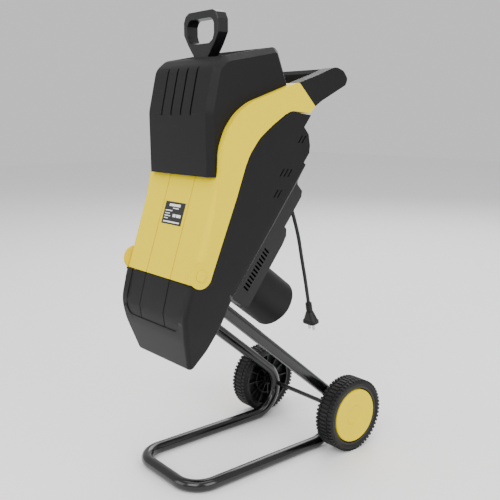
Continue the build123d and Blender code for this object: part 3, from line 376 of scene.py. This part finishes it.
def switch_red():
    return moulded_plastic("Switch Red", (0.55, 0.02, 0.012), 0.3, (900.0, 0.06, 0.0002), coat=0.3)


def label_film():
    return moulded_plastic("Label Film", (0.008, 0.008, 0.009), 0.28, (500.0, 0.03, 0.0001),
                           dust=0.01, scuffs=0.05)


def label_ink():
    return moulded_plastic("Label Ink", (0.78, 0.78, 0.76), 0.4, (900.0, 0.04, 0.0001),
                           drift=0.15, dust=0.0, scuffs=0.05)


def brush_carbon():
    return moulded_plastic("Brush Carbon", (0.02, 0.02, 0.022), 0.55, (1200.0, 0.3, 0.0003))


def ground_steel():
    return worked_metal("Ground Steel", (0.52, 0.52, 0.53), 0.3, 900.0)


def zinc_plate():
    return worked_metal("Zinc Plate", (0.62, 0.60, 0.54), 0.26, 600.0, 0.12, 0.4)


def cast_alloy():
    return worked_metal("Cast Alloy", (0.60, 0.60, 0.61), 0.45, 350.0, 0.5, 0.25)


def core_steel():
    return worked_metal("Core Steel", (0.22, 0.22, 0.24), 0.4, 1400.0, 0.5, 0.5)


def winding_copper():
    return worked_metal("Winding Copper", (0.62, 0.27, 0.12), 0.32, 1200.0, 0.6, 0.4)


def terminal_brass():
    return worked_metal("Terminal Brass", (0.70, 0.50, 0.20), 0.28, 700.0, 0.2, 0.3)


MATERIAL_MAKERS = {
    "Grained Black": grained_black, "Smooth Black": smooth_black, "Satin Yellow": satin_yellow,
    "Stand Paint": stand_paint, "Tyre Rubber": tyre_rubber, "Cord Rubber": cord_rubber,
    "Switch Red": switch_red, "Label Film": label_film, "Label Ink": label_ink,
    "Brush Carbon": brush_carbon, "Ground Steel": ground_steel,
    "Zinc Plate": zinc_plate, "Cast Alloy": cast_alloy, "Core Steel": core_steel,
    "Winding Copper": winding_copper, "Terminal Brass": terminal_brass,
}


def material(name):
    return bpy.data.materials.get(name) or MATERIAL_MAKERS[name]()


def dress(node, finish):
    """Give a CAD node its finish."""
    mesh = NODES[node].data
    mesh.materials.clear()
    mesh.materials.append(material(finish))


# ---- mesh helpers -------------------------------------------------------------------
SHARP_ANGLE = radians(28)
FLAT_ANGLE = radians(0.3)    # triangles nearer to flat than this become one face
MERGE_GAP = 2e-6
ROUND_SEGMENTS = 3
SHADING_WEIGHT = 80          # how far large faces rule the shading beside them
ROOM_FACTOR = 2.1            # clear length beside a rounding, in widths
CHAIN_COSINE = 0.9           # edges nearer in line than this carry one rounding on


def add_piece(name, mesh, finish, body, slot_name, *replaced):
    """Link a finished mesh, give it its finish, and let it ride on a body."""
    mesh.materials.clear()
    mesh.materials.append(material(finish))
    piece = bpy.data.objects.new(name, mesh)
    bpy.context.scene.collection.objects.link(piece)
    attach(piece, body)
    if replaced:
        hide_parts(*replaced)
    return piece


def evaluated_mesh(piece):
    """Plain mesh of an object with its modifiers worked in; the object is then removed."""
    graph = bpy.context.evaluated_depsgraph_get()
    mesh = bpy.data.meshes.new_from_object(piece.evaluated_get(graph), depsgraph=graph)
    old = piece.data
    bpy.data.objects.remove(piece)
    if old.users == 0:
        bpy.data.meshes.remove(old)
    return mesh


def mark_roundable(work, width):
    """Mark the sharp edges of a bmesh whose neighbours leave room for a rounding."""
    weights = work.edges.layers.float.new("bevel_weight_edge")
    sharp = {e for e in work.edges if len(e.link_faces) == 2 and e.calc_face_angle() > SHARP_ANGLE}
    room = ROOM_FACTOR * width
    for edge in sharp:
        along = (edge.verts[1].co - edge.verts[0].co).normalized()
        edge[weights] = 1.0
        for vert in edge.verts:
            for other in vert.link_edges:
                if other is edge or other.calc_length() > room:
                    continue
                way = (other.verts[1].co - other.verts[0].co).normalized()
                if other not in sharp or abs(along.dot(way)) < CHAIN_COSINE:
                    edge[weights] = 0.0


def rounded_copy(node, width):
    """Copy of a CAD node's mesh with its sharp edges rounded over."""
    mesh = NODES[node].data.copy()
    work = bmesh.new()
    work.from_mesh(mesh)
    bmesh.ops.remove_doubles(work, verts=work.verts, dist=MERGE_GAP)
    bmesh.ops.dissolve_limit(work, angle_limit=FLAT_ANGLE, verts=work.verts, edges=work.edges)
    mark_roundable(work, width)
    work.to_mesh(mesh)
    work.free()
    for face in mesh.polygons:
        face.use_smooth = True
    mesh.set_sharp_from_angle(angle=SHARP_ANGLE)
    piece = bpy.data.objects.new(node + "_work", mesh)
    bpy.context.scene.collection.objects.link(piece)
    bevel = piece.modifiers.new("Rounding", "BEVEL")
    bevel.width = width
    bevel.segments = ROUND_SEGMENTS
    bevel.limit_method = "WEIGHT"
    bevel.use_clamp_overlap = True
    even = piece.modifiers.new("Even Shading", "WEIGHTED_NORMAL")
    even.keep_sharp = True
    even.weight = SHADING_WEIGHT
    return evaluated_mesh(piece)


def round_piece(node, finish, width, body):
    """Show a rounded copy in place of a CAD node."""
    slots = {s["node"]: s["material_slot"] for s in frame["record"]["subparts"]}
    mesh = rounded_copy(node, width)
    return add_piece(node + "_moulded", mesh, finish, body, slots[node], node)


def mesh_from(work, name):
    """Mesh made from a bmesh, with its faces turned outwards."""
    mesh = bpy.data.meshes.new(name)
    bmesh.ops.recalc_face_normals(work, faces=work.faces)
    work.to_mesh(mesh)
    work.free()
    return mesh


# ---- geometry node trees ------------------------------------------------------------
def start_geometry(name, inputs):
    """Empty geometry tree with named sockets; returns the tree and its two end nodes."""
    tree = bpy.data.node_groups.new(name, "GeometryNodeTree")
    tree.interface.new_socket(name="Geometry", in_out="INPUT", socket_type="NodeSocketGeometry")
    for socket, kind, value in inputs:
        item = tree.interface.new_socket(name=socket, in_out="INPUT", socket_type=kind)
        if value is not None:
            item.default_value = value
    tree.interface.new_socket(name="Geometry", in_out="OUTPUT", socket_type="NodeSocketGeometry")
    return tree, tree.nodes.new("NodeGroupInput"), tree.nodes.new("NodeGroupOutput")


def vector_of(tree, x, y, z):
    """Vector whose parts are numbers or sockets."""
    node = tree.nodes.new("ShaderNodeCombineXYZ")
    for socket, value in zip(node.inputs, (x, y, z)):
        if isinstance(value, (int, float)):
            socket.default_value = value
        else:
            tree.links.new(value, socket)
    return node.outputs[0]


def rib_ring(tree, start, length, shift, phase):
    """Ribs set round the tyre as points on a circle, each turned to face outwards."""
    circle = tree.nodes.new("GeometryNodeMeshCircle")
    tree.links.new(start.outputs["Count"], circle.inputs["Vertices"])
    tree.links.new(start.outputs["Radius"], circle.inputs["Radius"])
    rib = tree.nodes.new("GeometryNodeMeshCube")
    tree.links.new(vector_of(tree, start.outputs["Depth"], start.outputs["Width"], length),
                   rib.inputs["Size"])
    place = tree.nodes.new("GeometryNodeInstanceOnPoints")
    position = tree.nodes.new("GeometryNodeInputPosition")
    turn = tree.nodes.new("FunctionNodeAlignRotationToVector")
    turn.axis = "X"
    tree.links.new(position.outputs[0], turn.inputs["Vector"])
    tree.links.new(circle.outputs["Mesh"], place.inputs["Points"])
    tree.links.new(rib.outputs["Mesh"], place.inputs["Instance"])
    tree.links.new(turn.outputs["Rotation"], place.inputs["Rotation"])
    move = tree.nodes.new("GeometryNodeTransform")
    tree.links.new(place.outputs["Instances"], move.inputs["Geometry"])
    move.inputs["Translation"].default_value = (0.0, 0.0, shift)
    move.inputs["Rotation"].default_value = (0.0, 0.0, phase)
    return move.outputs["Geometry"]


MIDDLE_RIB = 0.020          # length of a rib across the middle of the tread
SHOULDER_LUG = 0.0085       # length of a lug on either shoulder
SHOULDER_X = 0.0165         # lug's middle beside the middle of the tread


def tread_tree(ribs):
    """Tread of one tyre: ribs across the middle and lugs on both shoulders."""
    tree, start, end = start_geometry(
        "Tyre Tread",
        [("Count", "NodeSocketInt", ribs), ("Radius", "NodeSocketFloat", 0.078),
         ("Depth", "NodeSocketFloat", 0.004), ("Width", "NodeSocketFloat", 0.005),
         ("Finish", "NodeSocketMaterial", None)])
    join = tree.nodes.new("GeometryNodeJoinGeometry")
    half_pitch = pi / ribs
    rings = ((MIDDLE_RIB, 0.0, 0.0), (SHOULDER_LUG, SHOULDER_X, half_pitch),
             (SHOULDER_LUG, -SHOULDER_X, half_pitch))
    for length, shift, phase in rings:
        tree.links.new(rib_ring(tree, start, length, shift, phase), join.inputs["Geometry"])
    upright = tree.nodes.new("GeometryNodeTransform")
    upright.inputs["Rotation"].default_value = (0.0, pi / 2, 0.0)
    realize = tree.nodes.new("GeometryNodeRealizeInstances")
    both = tree.nodes.new("GeometryNodeJoinGeometry")
    paint = tree.nodes.new("GeometryNodeSetMaterial")
    tree.links.new(join.outputs[0], upright.inputs["Geometry"])
    tree.links.new(upright.outputs[0], realize.inputs[0])
    tree.links.new(start.outputs["Geometry"], both.inputs[0])
    tree.links.new(realize.outputs[0], both.inputs[0])
    tree.links.new(both.outputs[0], paint.inputs["Geometry"])
    tree.links.new(start.outputs["Finish"], paint.inputs["Material"])
    tree.links.new(paint.outputs[0], end.inputs["Geometry"])
    return tree


def run_tree(mesh, tree, values):
    """Pass a mesh through a geometry tree and return the plain result."""
    piece = bpy.data.objects.new("tree_work", mesh)
    bpy.context.scene.collection.objects.link(piece)
    modifier = piece.modifiers.new("Tree", "NODES")
    modifier.node_group = tree
    for item in tree.interface.items_tree:
        if item.item_type == "SOCKET" and item.in_out == "INPUT" and item.name in values:
            modifier[item.identifier] = values[item.name]
    return evaluated_mesh(piece)


# ---- wheels -------------------------------------------------------------------------
TYRE_STEPS = 128
TREAD_SHARP = radians(35)
RIB_SUNK = 0.0002           # how far a rib's middle lies under the carcass


def tyre_carcass(radius, rim_radius, width):
    """Round tyre body about the X axis at the origin, as (x, radius) rings."""
    half = width / 2
    outline = [(-half + 0.003, rim_radius), (-half + 0.0005, rim_radius + 0.004),
               (-half, (radius + rim_radius) / 2), (-half + 0.0008, radius - 0.0045),
               (-half + 0.0032, radius - 0.0012), (-half + 0.008, radius), (half - 0.008, radius),
               (half - 0.0032, radius - 0.0012), (half - 0.0008, radius - 0.0045),
               (half, (radius + rim_radius) / 2), (half - 0.0005, rim_radius + 0.004),
               (half - 0.003, rim_radius)]
    work = bmesh.new()
    rings = []
    for step in range(TYRE_STEPS):
        angle = 2 * pi * step / TYRE_STEPS
        rings.append([work.verts.new((x, r * cos(angle), r * sin(angle))) for x, r in outline])
    for step, ring in enumerate(rings):
        following = rings[(step + 1) % TYRE_STEPS]
        for i in range(len(outline)):
            j = (i + 1) % len(outline)
            work.faces.new((ring[i], ring[j], following[j], following[i]))
    mesh = mesh_from(work, "tyre_carcass")
    for face in mesh.polygons:
        face.use_smooth = True
    return mesh


class CHIPPER_OT_wheels(bpy.types.Operator):
    """Tyres with ribbed tread, ribbed rims, yellow caps and their bushes"""
    bl_idname = "chipper.wheels"
    bl_label = "Wheels"

    def execute(self, context):
        sizes = context.scene.chipper_sizes
        tree = tread_tree(sizes.tread_ribs)
        for side in ("right", "left"):
            low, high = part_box(side + "_tyre")
            rim_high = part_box(side + "_rim")[1]
            centre = (low + high) / 2
            radius = (high.z - low.z) / 2
            rim_radius = rim_high.z - centre.z
            carcass = tyre_carcass(radius - sizes.rib_depth, rim_radius, high.x - low.x)
            pitch = 2 * pi * radius / sizes.tread_ribs
            mesh = run_tree(carcass, tree, {
                "Count": sizes.tread_ribs, "Radius": radius - sizes.rib_depth - RIB_SUNK,
                "Depth": 2 * sizes.rib_depth, "Width": pitch * (1 - sizes.rib_gap),
                "Finish": material("Tyre Rubber")})
            mesh.transform(Matrix.Translation(centre))
            mesh.set_sharp_from_angle(angle=TREAD_SHARP)
            add_piece(side + "_tread_tyre", mesh, "Tyre Rubber", side + "_wheel", "tyre_rubber",
                      side + "_tyre")
            round_piece(side + "_rim", "Smooth Black", sizes.fine_round, side + "_wheel")
            round_piece(side + "_cap", "Satin Yellow", sizes.fine_round, side + "_wheel")
            dress(side + "_bush", "Ground Steel")
        return {"FINISHED"}


# ---- stand --------------------------------------------------------------------------
class CHIPPER_OT_stand(bpy.types.Operator):
    """Gloss black tube stand, axle and clamps"""
    bl_idname = "chipper.stand"
    bl_label = "Stand"

    def execute(self, context):
        dress("stand_frame", "Stand Paint")
        dress("axle", "Stand Paint")
        for node in ("axle_retainers", "leg_clamp_screws"):
            dress(node, "Zinc Plate")
        for node in ("axle_spacers", "leg_clamps"):
            dress(node, "Smooth Black")
        return {"FINISHED"}


# ---- casing -------------------------------------------------------------------------
class CHIPPER_OT_casing(bpy.types.Operator):
    """Grained black casing with rounded edges, motor shroud and motor can"""
    bl_idname = "chipper.casing"
    bl_label = "Casing"

    def execute(self, context):
        sizes = context.scene.chipper_sizes
        round_piece("base_housing", "Grained Black", sizes.edge_round, "stand")
        round_piece("rear_housing", "Grained Black", sizes.edge_round * 0.7, "stand")
        round_piece("motor_can", "Grained Black", sizes.fine_round, "stand")
        return {"FINISHED"}


# ---- cover and label ----------------------------------------------------------------
class CHIPPER_OT_cover(bpy.types.Operator):
    """Yellow front cover, its hinge pins and the steel tongue of the lock"""
    bl_idname = "chipper.cover"
    bl_label = "Yellow Cover"

    def execute(self, context):
        sizes = context.scene.chipper_sizes
        round_piece("front_cover", "Satin Yellow", sizes.edge_round, "hopper_unit")
        round_piece("hinge_pins", "Satin Yellow", sizes.fine_round, "stand")
        dress("lock_tab", "Zinc Plate")
        return {"FINISHED"}


COVER_SLOPE = Vector((0.0, 1.0, 3.0)).normalized()
# Each bar is (left, level, width, thickness) in shares of the label's width and height.
LABEL_BARS = ((0.22, 0.80, 0.56, 0.11), (0.44, 0.70, 0.28, 0.04), (0.08, 0.58, 0.34, 0.045),
              (0.08, 0.46, 0.24, 0.04), (0.08, 0.35, 0.30, 0.04), (0.08, 0.24, 0.20, 0.04),
              (0.50, 0.34, 0.14, 0.13), (0.68, 0.34, 0.22, 0.13), (0.08, 0.08, 0.82, 0.06))


BAR_SUNK = 0.0003
BAR_PROUD = 0.00025


def label_strips():
    """Plain bars that stand for printing, laid on the sloping label."""
    low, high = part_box("rating_label")
    width = high.x - low.x
    height = (high.z - low.z) / COVER_SLOPE.z
    outwards = Vector((0.0, -COVER_SLOPE.z, COVER_SLOPE.y))
    foot = low.copy()
    work = bmesh.new()
    for left, level, share, thickness in LABEL_BARS:
        start = foot + COVER_SLOPE * (height * level) + Vector((width * left, 0, 0))
        across = Vector((width * share, 0, 0))
        rise = COVER_SLOPE * (height * thickness)
        corners = [start, start + across, start + across + rise, start + rise]
        lower = [work.verts.new(c - outwards * BAR_SUNK) for c in corners]
        upper = [work.verts.new(c + outwards * BAR_PROUD) for c in corners]
        work.faces.new(lower)
        work.faces.new(upper)
        for i in range(4):
            j = (i + 1) % 4
            work.faces.new((lower[i], lower[j], upper[j], upper[i]))
    return mesh_from(work, "label_strips")


class CHIPPER_OT_label(bpy.types.Operator):
    """Black label film with plain bars"""
    bl_idname = "chipper.label"
    bl_label = "Label"

    def execute(self, context):
        dress("rating_label", "Label Film")
        add_piece("label_bars", label_strips(), "Label Ink", "hopper_unit", "label")
        return {"FINISHED"}


# ---- hopper, plunger and push handle ------------------------------------------------
class CHIPPER_OT_hopper(bpy.types.Operator):
    """Grained hopper with its funnel and feed chute"""
    bl_idname = "chipper.hopper"
    bl_label = "Hopper"

    def execute(self, context):
        sizes = context.scene.chipper_sizes
        round_piece("hopper", "Grained Black", sizes.edge_round, "hopper_unit")
        dress("feed_chute", "Grained Black")
        return {"FINISHED"}


class CHIPPER_OT_plunger(bpy.types.Operator):
    """Plunger with its D-shaped grip and ribbed paddle"""
    bl_idname = "chipper.plunger"
    bl_label = "Plunger"

    def execute(self, context):
        sizes = context.scene.chipper_sizes
        round_piece("plunger_handle", "Smooth Black", sizes.edge_round, "plunger")
        round_piece("plunger_paddle", "Smooth Black", sizes.fine_round, "plunger")
        return {"FINISHED"}


class CHIPPER_OT_push_handle(bpy.types.Operator):
    """Push handle behind the cover, and the lock knob"""
    bl_idname = "chipper.push_handle"
    bl_label = "Push Handle"

    def execute(self, context):
        sizes = context.scene.chipper_sizes
        round_piece("push_handle", "Grained Black", sizes.edge_round * 1.6, "hopper_unit")
        round_piece("lock_knob", "Smooth Black", sizes.fine_round, "lock")
        dress("lock_spindle", "Ground Steel")
        return {"FINISHED"}


# ---- motor, cutting head and controls -----------------------------------------------
INNER_FINISHES = {
    "Ground Steel": ("chamber_liner", "counter_blade", "front_bearing", "rear_bearing",
                     "motor_shaft", "cutting_disc", "disc_blades", "plug_pins"),
    "Zinc Plate": ("housing_screws", "motor_plate_screws", "hopper_screws", "handle_screws",
                   "blade_screws", "disc_bolt"),
    "Cast Alloy": ("motor_plate",),
    "Core Steel": ("motor_stator", "motor_armature"),
    "Winding Copper": ("field_coils", "commutator"),
    "Terminal Brass": ("brush_holders",),
    "Brush Carbon": ("carbon_brushes",),
    "Smooth Black": ("cooling_fan", "safety_switch", "capacitor", "button_guide"),
}


class CHIPPER_OT_motor(bpy.types.Operator):
    """Finishes of the motor, the cutting head and the screws"""
    bl_idname = "chipper.motor"
    bl_label = "Motor and Cutters"

    def execute(self, context):
        for finish, nodes in INNER_FINISHES.items():
            for node in nodes:
                dress(node, finish)
        return {"FINISHED"}


class CHIPPER_OT_controls(bpy.types.Operator):
    """Rocker switch and overload reset button"""
    bl_idname = "chipper.controls"
    bl_label = "Controls"

    def execute(self, context):
        sizes = context.scene.chipper_sizes
        round_piece("switch_housing", "Smooth Black", sizes.fine_round, "stand")
        round_piece("switch_rocker", "Switch Red", sizes.fine_round, "rocker")
        round_piece("reset_button", "Switch Red", sizes.fine_round, "button")
        return {"FINISHED"}


# ---- cord ---------------------------------------------------------------------------
CORD_RADIUS = 0.004
CORD_ROUTE = ((0.0380, 0.0875, 0.5262), (0.0380, 0.1062, 0.4777), (0.0370, 0.1200, 0.4150),
              (0.0375, 0.1325, 0.3600), (0.0360, 0.1430, 0.3120))


class CHIPPER_OT_cord(bpy.types.Operator):
    """Short mains lead that hangs behind the motor, its boot and its plug"""
    bl_idname = "chipper.cord"
    bl_label = "Cord and Plug"

    def execute(self, context):
        sizes = context.scene.chipper_sizes
        curve = bpy.data.curves.new("mains_lead", "CURVE")
        curve.dimensions = "3D"
        curve.bevel_depth = CORD_RADIUS
        curve.bevel_resolution = 6
        curve.resolution_u = 24
        curve.use_fill_caps = True
        spline = curve.splines.new("NURBS")
        spline.points.add(len(CORD_ROUTE) - 1)
        for point, place in zip(spline.points, CORD_ROUTE):
            point.co = (*place, 1.0)
        spline.order_u = 3
        spline.use_endpoint_u = True
        curve.materials.append(material("Cord Rubber"))
        lead = bpy.data.objects.new("mains_lead", curve)
        context.scene.collection.objects.link(lead)
        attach(lead, "stand")
        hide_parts("power_cord")
        plug = round_piece("plug_body", "Cord Rubber", sizes.fine_round, "stand")
        dress("cord_gland", "Cord Rubber")
        return {"FINISHED"}


# ---- stage --------------------------------------------------------------------------
CAMERA_PLACE = (1.1528, -0.9486, 0.7258)
CAMERA_BACK = (0.7574, -0.6259, 0.1860)
CAMERA_ROLL = radians(-0.16)
SENSOR_WIDTH = 36.0
FLOOR_HALF = 9.0
SKY_STRENGTH = 0.75
LIGHT_AIM = Vector((0.0, 0.0, 0.45))
# Each light is a name, its place, its size and its power.
LIGHTS = (("key", (1.9, -3.2, 3.0), 2.6, 112.0), ("side", (3.6, 0.4, 2.0), 2.4, 75.0),
          ("front", (-1.2, -3.6, 1.6), 2.4, 45.0), ("back", (-1.6, 2.6, 2.8), 2.4, 70.0),
          ("above", (0.0, 0.0, 3.6), 3.0, 60.0))


class CHIPPER_OT_stage(bpy.types.Operator):
    """Pale floor, soft lights and the camera"""
    bl_idname = "chipper.stage"
    bl_label = "Stage"

    def execute(self, context):
        scene = context.scene
        floor_mesh = bpy.data.meshes.new("floor")
        corners = [(-FLOOR_HALF, -FLOOR_HALF, 0), (FLOOR_HALF, -FLOOR_HALF, 0),
                   (FLOOR_HALF, FLOOR_HALF, 0), (-FLOOR_HALF, FLOOR_HALF, 0)]
        floor_mesh.from_pydata(corners, [], [(0, 1, 2, 3)])
        paint = bpy.data.materials.new("Floor Paint")
        paint.use_nodes = True
        shader = paint.node_tree.nodes["Principled BSDF"]
        shader.inputs["Base Color"].default_value = rgba(scene.chipper_colours.floor)
        shader.inputs["Roughness"].default_value = 0.8
        floor_mesh.materials.append(paint)
        floor = bpy.data.objects.new("floor", floor_mesh)
        scene.collection.objects.link(floor)
        for name, place, size, power in LIGHTS:
            lamp = bpy.data.lights.new(name, "AREA")
            lamp.size = size
            lamp.energy = power
            holder = bpy.data.objects.new(name, lamp)
            holder.location = place
            aim = LIGHT_AIM - Vector(place)
            holder.rotation_euler = aim.to_track_quat("-Z", "Y").to_euler()
            scene.collection.objects.link(holder)
        world = bpy.data.worlds.new("studio")
        world.use_nodes = True
        world.node_tree.nodes["Background"].inputs["Color"].default_value = (1, 1, 1, 1)
        world.node_tree.nodes["Background"].inputs["Strength"].default_value = SKY_STRENGTH
        scene.world = world
        lens = bpy.data.cameras.new("studio_camera")
        lens.lens = scene.chipper_sizes.lens
        lens.sensor_width = SENSOR_WIDTH
        camera = bpy.data.objects.new("studio_camera", lens)
        turn = Vector(CAMERA_BACK).to_track_quat("Z", "Y").to_matrix().to_4x4()
        roll = Matrix.Rotation(CAMERA_ROLL, 4, "Z")
        camera.matrix_world = Matrix.Translation(CAMERA_PLACE) @ turn @ roll
        scene.collection.objects.link(camera)
        scene.camera = camera
        return {"FINISHED"}


# ---- panel and registration ---------------------------------------------------------
OPERATORS = (CHIPPER_OT_stage, CHIPPER_OT_cord, CHIPPER_OT_stand, CHIPPER_OT_wheels,
             CHIPPER_OT_casing, CHIPPER_OT_cover, CHIPPER_OT_label, CHIPPER_OT_hopper,
             CHIPPER_OT_plunger, CHIPPER_OT_push_handle, CHIPPER_OT_motor, CHIPPER_OT_controls)


class CHIPPER_PT_panel(bpy.types.Panel):
    """Sidebar panel that lists the chipper's operators and sizes"""
    bl_idname = "CHIPPER_PT_panel"
    bl_label = "Garden Chipper"
    bl_space_type = "VIEW_3D"
    bl_region_type = "UI"
    bl_category = "Chipper"

    def draw(self, context):
        for operator in OPERATORS:
            self.layout.operator(operator.bl_idname)
        for group in (context.scene.chipper_sizes, context.scene.chipper_colours):
            for name in group.__annotations__:
                self.layout.prop(group, name)


CLASSES = (ChipperSizes, ChipperColours, *OPERATORS, CHIPPER_PT_panel)


def register():
    for entry in CLASSES:
        bpy.utils.register_class(entry)
    bpy.types.Scene.chipper_sizes = bpy.props.PointerProperty(type=ChipperSizes)
    bpy.types.Scene.chipper_colours = bpy.props.PointerProperty(type=ChipperColours)


def unregister():
    del bpy.types.Scene.chipper_colours
    del bpy.types.Scene.chipper_sizes
    for entry in reversed(CLASSES):
        bpy.utils.unregister_class(entry)


def main():
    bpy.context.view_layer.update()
    register()
    for operator in OPERATORS:
        family, name = operator.bl_idname.split(".")
        getattr(getattr(bpy.ops, family), name)()


if __name__ == "__main__":
    main()
